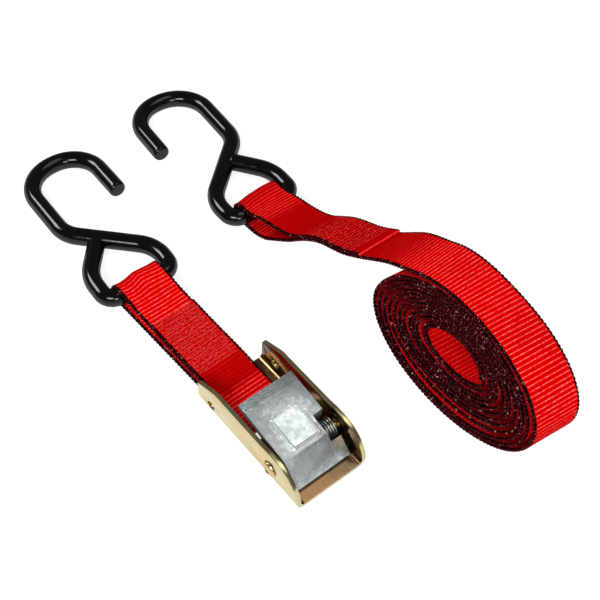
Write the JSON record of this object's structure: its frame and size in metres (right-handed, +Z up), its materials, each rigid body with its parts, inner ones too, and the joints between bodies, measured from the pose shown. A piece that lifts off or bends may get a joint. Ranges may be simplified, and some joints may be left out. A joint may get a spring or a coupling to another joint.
{
  "type": "cam buckle tie-down",
  "caption": "Cam buckle tie-down: a short sewn strap with a sprung cam buckle, and a long red webbing strap in a roll, each with a vinyl-coated S-hook.",
  "frame": {"origin": "on the ground below the middle of the whole set", "axes": "+X along the straps from the hooks to the buckle and the roll, +Y across them towards the long strap, +Z up"},
  "size_m": [0.3023, 0.125, 0.0701],
  "materials": {
    "zinc_plate": "yellow zinc plating, satin",
    "diecast": "die-cast, satin",
    "spring_wire": "dark oiled wire",
    "steel_rod": "bare",
    "vinyl": "gloss",
    "webbing": "ribbed woven polyester with black selvedges",
    "thread": "sewing thread"
  },
  "bodies": {
    "buckle": {"buckle_frame": "zinc_plate", "pivot_rivet": "zinc_plate", "torsion_spring": "spring_wire", "short_webbing": "webbing", "short_stitching": "thread"},
    "lever": {"cam_lever": "diecast"},
    "hook_a": {"hook_a_coating": "vinyl", "hook_a_rod": "steel_rod"},
    "long_strap": {"long_webbing_lead": "webbing", "long_stitching": "thread", "webbing_roll": "webbing"},
    "hook_b": {"hook_b_coating": "vinyl", "hook_b_rod": "steel_rod"}
  },
  "joints": [
    {"name": "lever_hinge", "type": "hinge", "parent": "buckle", "child": "lever", "pos_m": [0.0774, -0.03846, 0.00986], "axis": [0, -1, 0], "range_deg": [0, 22], "stiffness_Nm_per_rad": 0.15, "springref_deg": -34.38},
    {"name": "hook_a_hinge", "type": "hinge", "parent": "buckle", "child": "hook_a", "pos_m": [-0.04409, -0.04026, 0.00625], "axis": [0.0541, 0.9985, 0], "range_deg": [-90, 90]},
    {"name": "long_strap_slide", "type": "slide", "parent": "buckle", "child": "long_strap", "axis": [0, 1, 0], "range_m": [0, 0.05]},
    {"name": "hook_b_hinge", "type": "hinge", "parent": "long_strap", "child": "hook_b", "pos_m": [-0.04809, 0.03654, 0.00625], "axis": [0.0976, 0.9952, 0], "range_deg": [-90, 90]}
  ]
}
